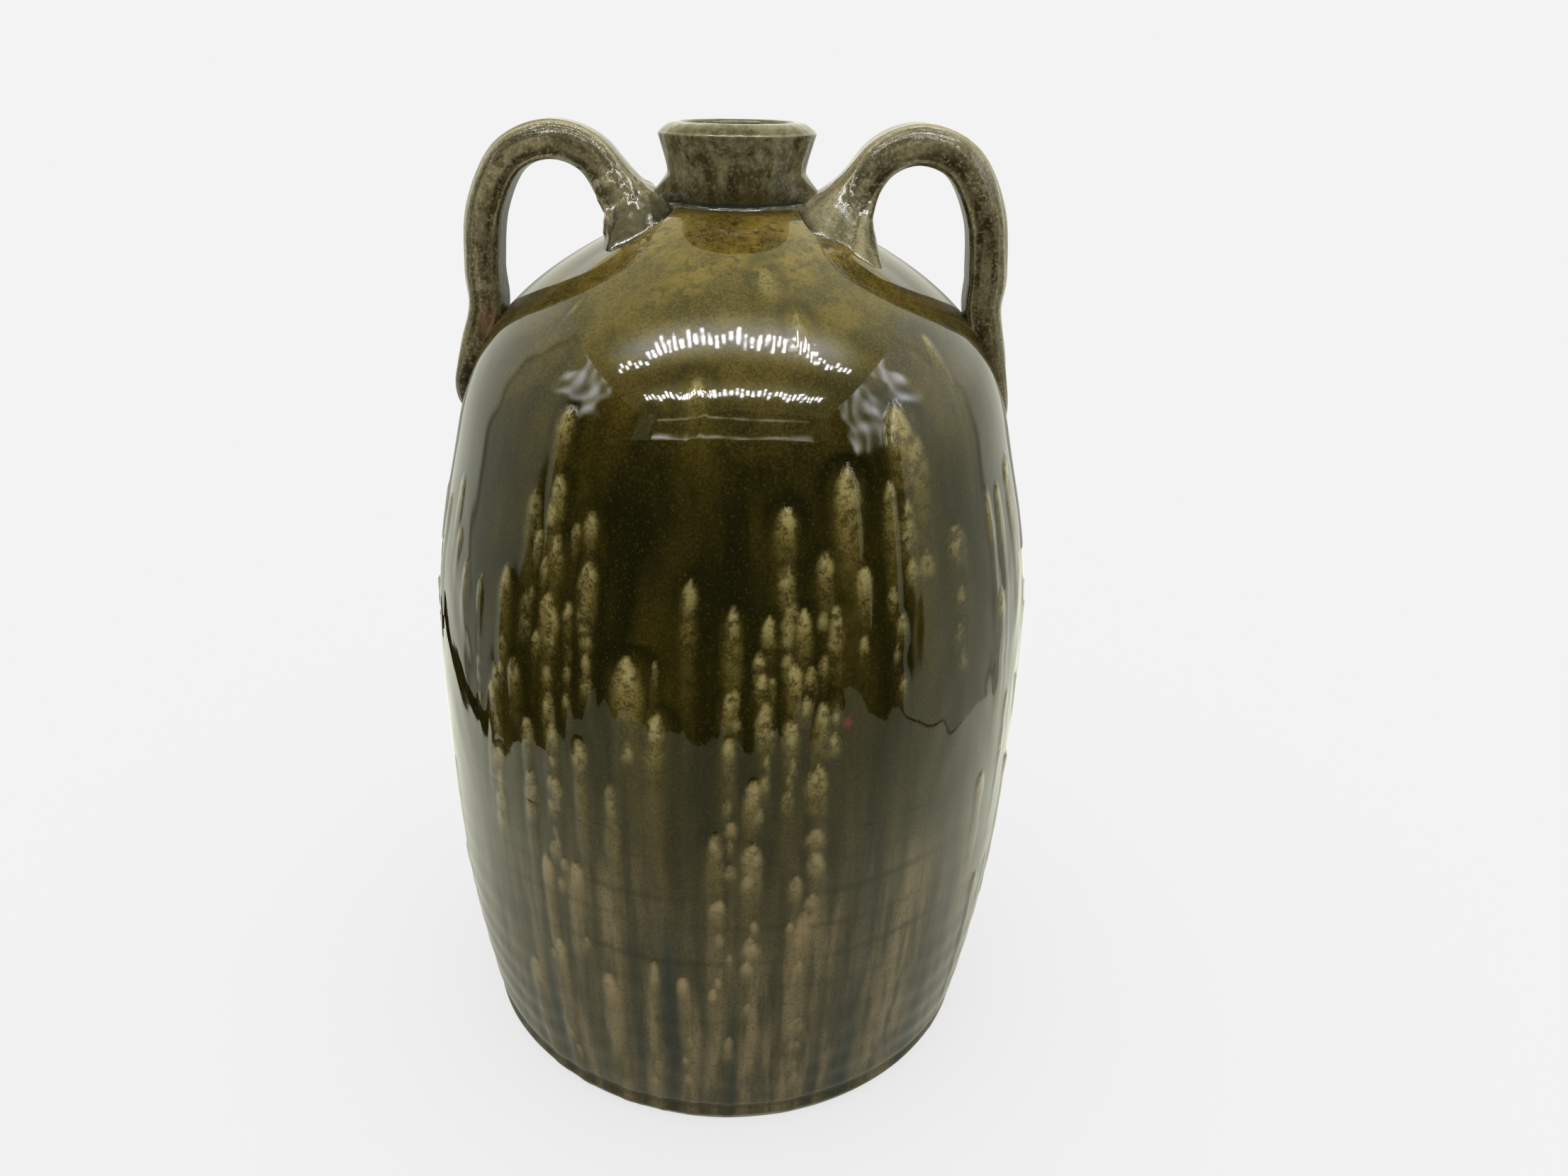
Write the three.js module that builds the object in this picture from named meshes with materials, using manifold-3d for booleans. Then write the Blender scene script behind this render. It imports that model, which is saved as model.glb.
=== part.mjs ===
// Syrup jug: a stoneware body thrown in two sections, a flared collar and two pulled strap handles.
// Millimetres, +Z up, the base on z = 0, the handles on the X axis.
import * as THREE from "three";
import { mergeVertices } from "three/addons/utils/BufferGeometryUtils.js";
import Module from "manifold-3d";

// Body
const FOOT_RADIUS = 115;
const FOOT_BEVEL = 4;
const BELLY_RADIUS = 129.4;
const BELLY_HEIGHT = 158;
const WALL_RISE = 120.8;
const SHOULDER_RADIUS = 115.8;
const SHOULDER_RISE = 89.2;
const SHOULDER_LEAN = 13.2;
const SEAT_LEAN = 22.3;
const WALL = 8;
const FLOOR = 11;

// Luted joints: a half lap at the belly, and the film of slip between luted pieces
const LAP_HEIGHT = 6;
const SLIP = 0.3;

// Collar
const COLLAR_HEIGHT = 32;
const COLLAR_FOOT_RADIUS = 26.2;
const COLLAR_SEAT_MARGIN = 1.8;
const LIP_RADIUS = 31;
const LIP_DROP = 3.6;
const RIM_FLAT_RADIUS = 28.2;
const MOUTH_RADIUS = 21.5;
const THROAT_RADIUS = 19.6;

// Handles
const ROOT_RADIUS = 39.5;
const HANDLE_REACH = 101.4;
const HANDLE_RISE = 25;
const STRAP_THICK = 15.6;
const STRAP_WIDTH = 20;
const ROOT_THICK = 28;
const ROOT_WIDTH = 29;
const TAIL_DROP = 84;
const TAIL_THICK = 7;
const TAIL_WIDTH = 17;

// Facets
const AROUND = 48;
const CURVE_STEPS = 10;

const SHOULDER_HEIGHT = BELLY_HEIGHT + WALL_RISE;
const SEAT_HEIGHT = SHOULDER_HEIGHT + SHOULDER_RISE;
const RIM_HEIGHT = SEAT_HEIGHT + COLLAR_HEIGHT;
const SEAT_RADIUS = COLLAR_FOOT_RADIUS + COLLAR_SEAT_MARGIN;

const wasm = await Module();
wasm.setup();

function toSolid(geometry) {
  const bare = geometry.clone();
  bare.deleteAttribute("normal");
  bare.deleteAttribute("uv");
  const merged = mergeVertices(bare, 1e-4);
  return new wasm.Manifold(new wasm.Mesh({
    numProp: 3,
    vertProperties: new Float32Array(merged.attributes.position.array),
    triVerts: new Uint32Array(merged.index.array),
  }));
}

function toGeometry(solid) {
  const mesh = solid.getMesh();
  const geometry = new THREE.BufferGeometry();
  geometry.setAttribute("position", new THREE.BufferAttribute(new Float32Array(mesh.vertProperties), 3));
  geometry.setIndex(new THREE.BufferAttribute(new Uint32Array(mesh.triVerts), 1));
  geometry.computeVertexNormals();
  return geometry;
}

function point(radius, height) {
  return new THREE.Vector2(radius, height);
}

function curve(start, leave, arrive, end, steps = CURVE_STEPS) {
  return new THREE.CubicBezierCurve(start, leave, arrive, end).getPoints(steps);
}

// Points moved square to their own line, to the right of the way it runs
function offset(points, distance) {
  return points.map((here, i) => {
    const before = points[Math.max(i - 1, 0)];
    const after = points[Math.min(i + 1, points.length - 1)];
    const along = after.clone().sub(before).normalize();
    return point(here.x + along.y * distance, here.y - along.x * distance);
  });
}

function spin(points) {
  const geometry = new THREE.LatheGeometry(points, AROUND);
  geometry.rotateX(Math.PI / 2);
  return geometry;
}

// Wall outline, from the foot to the belly, up to the turn of the shoulder, and on to the collar seat
function lean(degrees, length) {
  const angle = THREE.MathUtils.degToRad(degrees);
  return point(-Math.sin(angle) * length, Math.cos(angle) * length);
}

const belly = point(BELLY_RADIUS, BELLY_HEIGHT);
const turn = point(SHOULDER_RADIUS, SHOULDER_HEIGHT);
const seat = point(SEAT_RADIUS, SEAT_HEIGHT);
const foot = point(FOOT_RADIUS, FOOT_BEVEL);
const lowerOutline = curve(
  foot,
  point(FOOT_RADIUS + (BELLY_RADIUS - FOOT_RADIUS) * 0.35, FOOT_BEVEL + BELLY_HEIGHT * 0.14),
  point(BELLY_RADIUS, BELLY_HEIGHT * 0.5),
  belly,
);
const wallOutline = curve(
  belly,
  point(BELLY_RADIUS, BELLY_HEIGHT + WALL_RISE * 0.6),
  turn.clone().sub(lean(SHOULDER_LEAN, WALL_RISE * 0.37)),
  turn,
);
const shoulderOutline = curve(
  turn,
  turn.clone().add(lean(SHOULDER_LEAN, SHOULDER_RISE * 0.32)),
  seat.clone().sub(lean(90 - SEAT_LEAN, SHOULDER_RISE * 0.93)),
  seat,
);
const upperOutline = [...wallOutline, ...shoulderOutline.slice(1)];
const outline = [...lowerOutline, ...upperOutline.slice(1)];

function wallRadius(height) {
  const i = Math.max(outline.findIndex((p) => p.y >= height), 1);
  const [low, high] = [outline[i - 1], outline[i]];
  return THREE.MathUtils.mapLinear(height, low.y, high.y, low.x, high.x);
}

function shoulderHeight(radius) {
  const i = Math.max(upperOutline.findIndex((p) => p.x <= radius), 1);
  const [low, high] = [upperOutline[i - 1], upperOutline[i]];
  return THREE.MathUtils.mapLinear(radius, low.x, high.x, low.y, high.y);
}

// Lower section: the floor and the lower wall, with the tongue of the lap inside
const lapRadius = BELLY_RADIUS - WALL / 2;
const lapTop = BELLY_HEIGHT + LAP_HEIGHT;
const innerBelly = point(BELLY_RADIUS - WALL, lapTop);
const innerFoot = point(FOOT_RADIUS - WALL, FLOOR + WALL);
const innerWall = curve(
  innerBelly,
  point(BELLY_RADIUS - WALL, BELLY_HEIGHT * 0.5),
  point(innerFoot.x + (BELLY_RADIUS - FOOT_RADIUS) * 0.35, innerFoot.y + BELLY_HEIGHT * 0.12),
  innerFoot,
);
const innerCorner = curve(
  innerFoot,
  point(innerFoot.x - WALL * 0.15, FLOOR + WALL * 0.35),
  point(innerFoot.x - WALL * 0.6, FLOOR),
  point(innerFoot.x - WALL * 1.5, FLOOR),
  4,
);
const lowerSection = spin([
  point(0, 0),
  point(FOOT_RADIUS - FOOT_BEVEL * 0.6, 0),
  ...lowerOutline,
  point(lapRadius, BELLY_HEIGHT),
  point(lapRadius, lapTop),
  ...innerWall,
  ...innerCorner.slice(1),
  point(0, FLOOR),
]);

// Upper section: the upper wall and the shoulder, seated on the lap, with a flat seat for the collar
const lining = offset(upperOutline, -WALL).filter((p) => p.y > lapTop + WALL && p.x > THROAT_RADIUS + WALL * 0.6);
const throat = point(THROAT_RADIUS, SEAT_HEIGHT - WALL * 0.8);
const upperSection = spin([
  ...upperOutline,
  point(THROAT_RADIUS, SEAT_HEIGHT),
  throat,
  ...lining.reverse(),
  point(BELLY_RADIUS - WALL, lapTop + SLIP),
  point(lapRadius + SLIP, lapTop + SLIP),
  point(lapRadius + SLIP, BELLY_HEIGHT),
  belly,
]);

// Collar: the flared neck with its rounded lip
const lipHeight = RIM_HEIGHT - LIP_DROP;
const collarOutline = curve(
  point(COLLAR_FOOT_RADIUS, SEAT_HEIGHT),
  point(COLLAR_FOOT_RADIUS, SEAT_HEIGHT + COLLAR_HEIGHT * 0.5),
  point(LIP_RADIUS - COLLAR_HEIGHT * 0.08, lipHeight - COLLAR_HEIGHT * 0.25),
  point(LIP_RADIUS, lipHeight),
  8,
);
const lipOutline = curve(
  point(LIP_RADIUS, lipHeight),
  point(LIP_RADIUS, RIM_HEIGHT - LIP_DROP * 0.4),
  point(LIP_RADIUS * 0.6 + RIM_FLAT_RADIUS * 0.4, RIM_HEIGHT),
  point(RIM_FLAT_RADIUS, RIM_HEIGHT),
  4,
);
const mouthOutline = curve(
  point(MOUTH_RADIUS + LIP_DROP * 0.5, RIM_HEIGHT),
  point(MOUTH_RADIUS + LIP_DROP * 0.2, RIM_HEIGHT),
  point(MOUTH_RADIUS, RIM_HEIGHT - LIP_DROP * 0.2),
  point(MOUTH_RADIUS, RIM_HEIGHT - LIP_DROP * 0.5),
  3,
);
const collar = spin([
  ...collarOutline,
  ...lipOutline.slice(1),
  ...mouthOutline,
  point(THROAT_RADIUS, SEAT_HEIGHT),
  point(COLLAR_FOOT_RADIUS, SEAT_HEIGHT),
]);

// Handle: a strap carried from its root by the collar over the top and down to a tail pressed on the wall
const top = SEAT_HEIGHT + HANDLE_RISE;
const tailEnd = SEAT_HEIGHT - TAIL_DROP;
const landing = shoulderHeight(HANDLE_REACH);
const tailMiddle = (landing + tailEnd) / 2;
const strapLine = new THREE.CatmullRomCurve3([
  [ROOT_RADIUS - 3, shoulderHeight(ROOT_RADIUS) - STRAP_THICK * 0.5],
  [ROOT_RADIUS + STRAP_THICK * 0.32, top - HANDLE_RISE * 0.84],
  [ROOT_RADIUS + STRAP_THICK * 1.02, top - HANDLE_RISE * 0.18],
  [ROOT_RADIUS * 0.47 + HANDLE_REACH * 0.53, top],
  [HANDLE_REACH - STRAP_THICK * 0.8, top - HANDLE_RISE * 0.28],
  [HANDLE_REACH - STRAP_THICK * 0.17, top - HANDLE_RISE * 1.04],
  [HANDLE_REACH, top - HANDLE_RISE * 1.95],
  [HANDLE_REACH, landing + STRAP_THICK * 0.6],
  [wallRadius(tailMiddle) + TAIL_THICK * 0.1, tailMiddle],
  [wallRadius(tailEnd) - TAIL_THICK * 0.4, tailEnd],
].map(([radius, height]) => new THREE.Vector3(radius, 0, height)));

function blend(along, rootSize, strapSize, tailSize) {
  const root = 1 - THREE.MathUtils.smoothstep(along, 0, 0.25);
  const tail = THREE.MathUtils.smoothstep(along, 0.72, 1);
  return strapSize + (rootSize - strapSize) * root + (tailSize - strapSize) * tail;
}

function strap() {
  const geometry = new THREE.CylinderGeometry(1, 1, 1, 16, 36);
  const place = geometry.attributes.position;
  const across = new THREE.Vector3(0, 1, 0);
  for (let i = 0; i < place.count; i += 1) {
    const along = 0.5 - place.getY(i);
    const centre = strapLine.getPointAt(along);
    const outward = across.clone().cross(strapLine.getTangentAt(along));
    outward.multiplyScalar(place.getX(i) * blend(along, ROOT_THICK, STRAP_THICK, TAIL_THICK) / 2);
    const side = place.getZ(i) * blend(along, ROOT_WIDTH, STRAP_WIDTH, TAIL_WIDTH) / 2;
    place.setXYZ(i, centre.x + outward.x, side, centre.z + outward.z);
  }
  return geometry;
}

const bodyKeepOut = toSolid(spin([point(0, 0), ...offset(outline, SLIP), point(0, SEAT_HEIGHT + SLIP)]));
const collarKeepOut = toSolid(spin([
  point(0, SEAT_HEIGHT - WALL),
  point(COLLAR_FOOT_RADIUS + SLIP, SEAT_HEIGHT - WALL),
  ...offset([...collarOutline, ...lipOutline.slice(1)], SLIP),
  point(0, RIM_HEIGHT + SLIP),
]));
const rightHandle = toGeometry(toSolid(strap()).subtract(bodyKeepOut.add(collarKeepOut)));
const leftHandle = rightHandle.clone().rotateZ(Math.PI);

const jug = new THREE.Group();
jug.name = "syrup_jug";

function add(name, geometry, colour) {
  const material = new THREE.MeshStandardMaterial({ color: colour, roughness: 0.15, metalness: 0 });
  material.name = name;
  const mesh = new THREE.Mesh(geometry, material);
  mesh.name = name;
  jug.add(mesh);
}

add("lower_section", lowerSection, 0x6a5f3c);
add("upper_section", upperSection, 0x4a4420);
add("neck_collar", collar, 0x71664c);
add("left_handle", leftHandle, 0x7a6d4a);
add("right_handle", rightHandle, 0x7a6d4a);

export default jug;
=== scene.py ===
import math

import bmesh
import bpy
import numpy as np
from mathutils import Matrix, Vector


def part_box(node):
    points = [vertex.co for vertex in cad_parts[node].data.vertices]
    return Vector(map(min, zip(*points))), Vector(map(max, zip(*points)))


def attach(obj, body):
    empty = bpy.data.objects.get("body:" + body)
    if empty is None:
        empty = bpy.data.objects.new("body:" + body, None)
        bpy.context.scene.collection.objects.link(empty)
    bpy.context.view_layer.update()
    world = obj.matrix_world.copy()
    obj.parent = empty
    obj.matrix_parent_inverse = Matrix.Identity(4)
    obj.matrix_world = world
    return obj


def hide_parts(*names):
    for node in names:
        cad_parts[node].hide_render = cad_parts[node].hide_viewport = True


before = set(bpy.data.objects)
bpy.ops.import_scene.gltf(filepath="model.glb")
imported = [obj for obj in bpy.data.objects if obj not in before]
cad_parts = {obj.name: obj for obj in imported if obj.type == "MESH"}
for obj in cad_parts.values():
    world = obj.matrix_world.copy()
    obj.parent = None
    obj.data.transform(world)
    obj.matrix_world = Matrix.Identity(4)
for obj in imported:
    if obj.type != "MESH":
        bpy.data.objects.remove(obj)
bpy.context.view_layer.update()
mm = 0.001
print("frame loaded")


def srgb(code):
    parts = [int(code[i:i + 2], 16) / 255 for i in (1, 3, 5)]
    return [c / 12.92 if c <= 0.04045 else ((c + 0.055) / 1.055) ** 2.4 for c in parts] + [1]


def addNode(tree, kind, inputs=None, **settings):
    node = tree.nodes.new(kind)
    for name, value in settings.items():
        setattr(node, name, value)
    for name, value in (inputs or {}).items():
        if isinstance(value, bpy.types.NodeSocket):
            tree.links.new(value, node.inputs[name])
        else:
            node.inputs[name].default_value = value
    return node


def calc(tree, operation, *values):
    return addNode(tree, "ShaderNodeMath", dict(enumerate(values)), operation=operation).outputs[0]


def ramp(tree, value, low, high, least=0.0, most=1.0, **settings):
    ends = {"Value": value, "From Min": low, "From Max": high, "To Min": least, "To Max": most}
    return addNode(tree, "ShaderNodeMapRange", ends, **settings).outputs[0]


def noise(tree, space, scale, detail):
    inputs = {"Vector": space, "Scale": scale, "Detail": detail}
    return addNode(tree, "ShaderNodeTexNoise", inputs).outputs[0]


def bump(tree, height, depth, under=None, strength=1.0):
    inputs = {"Height": height, "Distance": depth * mm, "Strength": strength}
    if under:
        inputs["Normal"] = under
    return addNode(tree, "ShaderNodeBump", inputs).outputs[0]


def blend(tree, share, first, second):
    tones = {"Factor": share, 6: first, 7: second}
    return addNode(tree, "ShaderNodeMix", tones, data_type="RGBA").outputs[2]


def painted(tree, field):
    return addNode(tree, "ShaderNodeAttribute", attribute_name=field).outputs["Fac"]


def addObject(name, data):
    thing = bpy.data.objects.new(name, data)
    bpy.context.scene.collection.objects.link(thing)
    return thing


def smoothstep(low, high, value):
    t = np.clip((value - low) / (high - low), 0, 1)
    return t * t * (3 - 2 * t)


def fade(low, high, value):
    return 1 - smoothstep(low, high, value)


def bell(value, middle, width):
    return np.exp(-(((value - middle) / width) ** 2))


def bezier(start, leave, arrive, end, steps):
    t = np.linspace(0, 1, steps + 1)[:, None]
    s = 1 - t
    points = [np.array(p, float) for p in (start, leave, arrive, end)]
    return s**3 * points[0] + 3 * s * s * t * points[1] + 3 * s * t * t * points[2] + t**3 * points[3]


# Outline of the jug in mm, as radius and height

lowerBox, upperBox, collarBox = (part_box(name) for name in ("lower_section", "upper_section", "neck_collar"))
jug = {
    "bellyRadius": lowerBox[1].x / mm,
    "bellyHeight": upperBox[0].z / mm,
    "seatHeight": collarBox[0].z / mm,
    "rimHeight": collarBox[1].z / mm,
    "lipRadius": collarBox[1].x / mm,
    "footRadius": 115.0,
    "footBevel": 4.0,
    "turnRadius": 115.8,
    "turnHeight": 278.8,
    "turnLean": 13.2,
    "seatRadius": 28.0,
    "seatLean": 22.3,
    "wall": 8.0,
    "floor": 11.0,
    "throatRadius": 19.6,
}


def wallOutline():
    j = jug
    foot = (j["footRadius"], j["footBevel"])
    belly = (j["bellyRadius"], j["bellyHeight"])
    turn = np.array((j["turnRadius"], j["turnHeight"]))
    seat = np.array((j["seatRadius"], j["seatHeight"]))
    rise = turn[1] - belly[1]
    cap = seat[1] - turn[1]
    lean = math.radians(j["turnLean"])
    along = np.array((-math.sin(lean), math.cos(lean)))
    flat = math.radians(j["seatLean"])
    down = np.array((math.cos(flat), -math.sin(flat)))
    lower = bezier(
        foot,
        (foot[0] + (belly[0] - foot[0]) * 0.35, foot[1] + belly[1] * 0.14),
        (belly[0], belly[1] * 0.5),
        belly,
        120,
    )
    upper = bezier(belly, (belly[0], belly[1] + rise * 0.6), turn - along * rise * 0.37, turn, 80)
    shoulder = bezier(turn, turn + along * cap * 0.32, seat + down * cap * 0.93, seat, 100)
    return lower, np.vstack([upper, shoulder[1:]])


lowerWall, upperWall = wallOutline()
fullWall = np.vstack([lowerWall, upperWall[1:]])


def wallRadius(height):
    return np.interp(height, fullWall[:, 1], fullWall[:, 0])


def shoulderHeight(radius):
    return np.interp(radius, upperWall[::-1, 0], upperWall[::-1, 1])


def leftOf(points):
    along = np.gradient(points, axis=0)
    along /= np.linalg.norm(along, axis=1)[:, None]
    return np.stack([-along[:, 1], along[:, 0]], 1)


# Potter's wheel: spins an outline into a skin, a little out of round and ringed by the fingers

wheel = {
    "around": 560,
    "frontShare": 0.45,  # crowds the columns towards the front, 0 is even
    # Unevenness in mm, by the socket that takes it; rings fade out towards their top
    "sizes": {
        "Out of Round Depth": 0.8,
        "Out of Round Size": 160.0,
        "Dent Depth": 0.12,
        "Dent Size": 30.0,
        "Flute Depth": 0.06,
        "Flute Size": 9.0,
        "Ring Depth": 0.18,
        "Ring Spacing": 15.5,
        "Ring Top": 150.0,
    },
    "bumps": {"Out of Round": (3.0, 1.0), "Dent": (8.0, 1.0), "Flute": (5.0, 0.12)},  # seed, share of height
    "swayScale": 9.0,  # noise that bends the rings, per metre
    "swayRings": 2.5,
}


def wheelTree():
    tree = bpy.data.node_groups.new("potterWheel", "GeometryNodeTree")
    kinds = {"Outline": "Object", "Around": "Int", "Rows": "Int", "Glaze": "Material", "Front Share": "Float"}
    kinds.update({name: "Float" for name in wheel["sizes"]})
    for name, kind in kinds.items():
        tree.interface.new_socket(name, in_out="INPUT", socket_type="NodeSocket" + kind)
    tree.interface.new_socket("Geometry", in_out="OUTPUT", socket_type="NodeSocketGeometry")
    given = addNode(tree, "NodeGroupInput").outputs
    outline = addNode(tree, "GeometryNodeObjectInfo", {"Object": given["Outline"]}).outputs["Geometry"]
    columns = calc(tree, "ADD", given["Around"], 1.0)
    grid = addNode(
        tree,
        "GeometryNodeMeshGrid",
        {"Size X": 1.0, "Size Y": 1.0, "Vertices X": columns, "Vertices Y": given["Rows"]},
    ).outputs
    share = addNode(tree, "ShaderNodeSeparateXYZ", {0: grid["UV Map"]}).outputs
    at = addNode(tree, "GeometryNodeSampleCurve", {"Curves": outline, "Factor": share["Y"]}, mode="FACTOR")
    spot = addNode(tree, "ShaderNodeSeparateXYZ", {0: at.outputs["Position"]}).outputs
    even = calc(tree, "MULTIPLY", share["X"], math.tau)
    crowd = calc(tree, "MULTIPLY", calc(tree, "COSINE", even), given["Front Share"])
    turn = calc(tree, "SUBTRACT", even, crowd)
    east = calc(tree, "MULTIPLY", spot["X"], calc(tree, "COSINE", turn))
    north = calc(tree, "MULTIPLY", spot["X"], calc(tree, "SINE", turn))
    place = addNode(tree, "ShaderNodeCombineXYZ", {"X": east, "Y": north, "Z": spot["Z"]}).outputs[0]
    spun = addNode(tree, "GeometryNodeSetPosition", {"Geometry": grid["Mesh"], "Position": place}).outputs[0]
    closed = addNode(tree, "GeometryNodeMergeByDistance", {"Geometry": spun, "Distance": 1e-6}).outputs[0]
    # Each push is a share of the radius, so the axis stays put and shared rims move alike
    here = addNode(tree, "GeometryNodeInputPosition").outputs[0]
    height = addNode(tree, "ShaderNodeSeparateXYZ", {0: here}).outputs["Z"]
    turns = calc(tree, "DIVIDE", height, given["Ring Spacing"])
    sway = noise(tree, here, wheel["swayScale"], 1.0)
    bent = calc(tree, "MULTIPLY_ADD", sway, wheel["swayRings"], turns)
    wave = calc(tree, "SINE", calc(tree, "MULTIPLY", bent, math.tau))
    depth = calc(tree, "MULTIPLY", given["Ring Depth"], ramp(tree, height, given["Ring Top"], 0.0))
    total = calc(tree, "MULTIPLY", wave, depth)
    for name, (seed, tall) in wheel["bumps"].items():
        pressed = addNode(tree, "ShaderNodeVectorMath", {0: here, 1: (1.0, 1.0, tall)}, operation="MULTIPLY")
        scale = calc(tree, "DIVIDE", 1.0, given[name + " Size"])
        lumps = addNode(
            tree,
            "ShaderNodeTexNoise",
            {"Vector": pressed.outputs[0], "W": seed, "Scale": scale, "Detail": 1.0},
            noise_dimensions="4D",
        )
        bothWays = calc(tree, "MULTIPLY", calc(tree, "SUBTRACT", lumps.outputs[0], 0.5), 2.0)
        total = calc(tree, "ADD", total, calc(tree, "MULTIPLY", bothWays, given[name + " Depth"]))
    part = calc(tree, "DIVIDE", total, jug["bellyRadius"] * mm)
    level = addNode(tree, "ShaderNodeVectorMath", {0: here, 1: (1.0, 1.0, 0.0)}, operation="MULTIPLY")
    shift = addNode(tree, "ShaderNodeVectorMath", {0: level.outputs[0], "Scale": part}, operation="SCALE")
    thrown = addNode(tree, "GeometryNodeSetPosition", {"Geometry": closed, "Offset": shift.outputs[0]})
    whole = addNode(tree, "GeometryNodeRealizeInstances", {"Geometry": thrown.outputs[0]}).outputs[0]
    glazed = addNode(tree, "GeometryNodeSetMaterial", {"Geometry": whole, "Material": given["Glaze"]})
    addNode(tree, "NodeGroupOutput", {"Geometry": glazed.outputs[0]})
    return tree


potterWheel = wheelTree()


def throwSkin(points, rows, glaze, around=None):
    line = bpy.data.curves.new("outline", "CURVE")
    line.dimensions = "3D"
    spline = line.splines.new("POLY")
    spline.points.add(len(points) - 1)
    for knot, (radius, height) in zip(spline.points, points):
        knot.co = (radius * mm, 0, height * mm, 1)
    path = addObject("outline", line)
    clay = addObject("clay", bpy.data.meshes.new("clay"))
    sizes = {"Outline": path, "Around": around or wheel["around"], "Rows": rows, "Glaze": glaze}
    sizes["Front Share"] = wheel["frontShare"]
    sizes.update({name: size * mm for name, size in wheel["sizes"].items()})
    spin = clay.modifiers.new("potterWheel", "NODES")
    spin.node_group = potterWheel
    for item in potterWheel.interface.items_tree:
        if item.in_out == "INPUT":
            spin[item.identifier] = sizes[item.name]
    bpy.context.view_layer.update()
    skin = bpy.data.meshes.new_from_object(clay.evaluated_get(bpy.context.evaluated_depsgraph_get()))
    bpy.data.objects.remove(clay)
    bpy.data.objects.remove(path)
    return skin


def joinSkins(name, skins):
    shape = bmesh.new()
    for skin in skins:
        shape.from_mesh(skin)
    bmesh.ops.remove_doubles(shape, verts=shape.verts, dist=0.02 * mm)
    bmesh.ops.recalc_face_normals(shape, faces=shape.faces)
    joined = bpy.data.meshes.new(name)
    shape.to_mesh(joined)
    shape.free()
    for skin in skins:
        bpy.data.meshes.remove(skin)
    return joined


def cornersOf(mesh):
    flat = np.empty(len(mesh.vertices) * 3)
    mesh.vertices.foreach_get("co", flat)
    return flat.reshape(-1, 3) / mm


def normalsOf(mesh):
    flat = np.empty(len(mesh.vertices) * 3)
    mesh.vertices.foreach_get("normal", flat)
    return flat.reshape(-1, 3)


def moveCorners(mesh, corners):
    mesh.vertices.foreach_set("co", (corners * mm).ravel())
    mesh.update()


def paint(mesh, name, values):
    mesh.attributes.new(name, "FLOAT", "POINT").data.foreach_set("value", values.astype(np.float32).ravel())


def paintFlow(mesh, flow):
    layer = mesh.attributes.new("flow", "FLOAT_VECTOR", "POINT")
    layer.data.foreach_set("vector", flow.astype(np.float32).ravel())


# Materials

def newMaterial(name):
    material = bpy.data.materials.new(name)
    material.use_nodes = True
    material.node_tree.nodes.clear()
    return material, material.node_tree


def coatWith(tree, shader):
    addNode(tree, "ShaderNodeOutputMaterial", {"Surface": shader.outputs[0]})


def firedCoat(tree, colour, gloss, relief, sheen="#ffffff"):
    coat = {"Base Color": colour, "Roughness": gloss, "Normal": relief, "IOR": 1.5}
    coat["Specular Tint"] = srgb(sheen)
    coatWith(tree, addNode(tree, "ShaderNodeBsdfPrincipled", coat))


def perMetre(size):
    return 1 / (size * mm)


def layTones(tree, look, pattern, colour, layers):
    # Layers from the clay up: painted field, pattern that breaks it up, its range, least and most share, tone
    for field, breaker, low, high, least, most, tone in layers:
        share = ramp(tree, pattern[breaker], low, high, least, most)
        if field:
            share = calc(tree, "MULTIPLY", share, painted(tree, field))
        colour = blend(tree, share, colour, srgb(look[tone]))
    return colour


glazeLook = {
    "deep": "#191806",  # thick glaze, bottle green to black
    "olive": "#463c12",
    "amber": "#907831",  # pooled on the shoulder
    "umber": "#352b0e",
    "moss": "#222314",  # thin glaze over the clay low on the wall
    "taupe": "#736546",
    "clay": "#8c7a58",  # bare-looking bead where the coat is thinnest
    "cool": "#1b2420",
    "khaki": "#5c5026",
    "tan": "#786b37",
    "pale": "#a19460",
    "rust": "#6b2f1a",
    "sheen": "#fffee2",  # tints what a glassy coat mirrors
    "gloss": (0.025, 0.06),
    # Patterns: size in mm, detail; the streaks run down the wall
    "patterns": {
        "bead": (4.0, 2.0), "grain": (1.0, 2.0), "cloud": (34.0, 4.0),
        "blot": (17.0, 7.0), "peel": (2.4, 1.0),
    },
    "streaks": {"streak": (5.0, 3.0), "broad": (15.0, 2.0)},
    "streakShare": 0.08,  # share of the height, so that they are drawn long
    "crackSize": 7.0,
    "crackBend": 4.0,
    "peelDepth": 0.004,
    "beadDepth": 0.12,
}


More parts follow.
